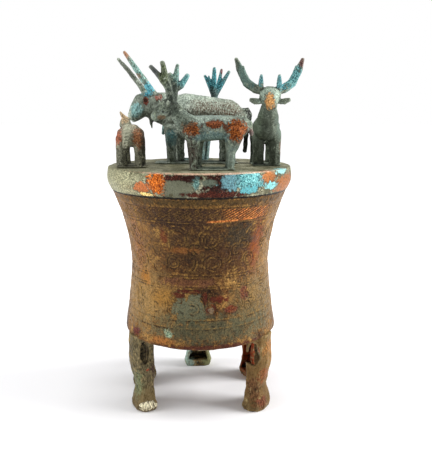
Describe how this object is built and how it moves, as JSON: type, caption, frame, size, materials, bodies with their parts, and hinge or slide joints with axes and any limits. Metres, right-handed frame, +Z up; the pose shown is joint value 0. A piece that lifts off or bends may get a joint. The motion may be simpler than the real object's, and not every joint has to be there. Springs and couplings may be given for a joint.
{
  "type": "lidded bronze vase",
  "caption": "Ancient waisted bronze container on hollow feet, with a cap-like lid that carries an ox, stags and a doe in the round.",
  "frame": {"origin": "middle of the whole object's box seen from above, on the plane its feet stand on", "axes": "+Z up along the barrel's axis, -Y towards the viewer of the picture, +X to the viewer's right"},
  "size_m": [0.1885, 0.1818, 0.3541],
  "materials": {
    "barrel_bronze": "cast bronze, olive brown patina with rust and green",
    "lid_bronze": "cast bronze, grey green patina with orange, dark red and turquoise patches",
    "stag_front_bronze": "cast bronze, green patina with rust patches",
    "stag_right_bronze": "cast bronze, dark green patina",
    "stag_back_bronze": "cast bronze, turquoise patina",
    "ox_bronze": "cast bronze, speckled grey green patina",
    "doe_bronze": "cast bronze, brown green patina with rust"
  },
  "bodies": {
    "root": {"barrel": "barrel_bronze", "lid": "lid_bronze", "ox": "ox_bronze", "stag_front": "stag_front_bronze", "stag_right": "stag_right_bronze", "stag_back": "stag_back_bronze", "doe_left": "doe_bronze"}
  },
  "joints": []
}
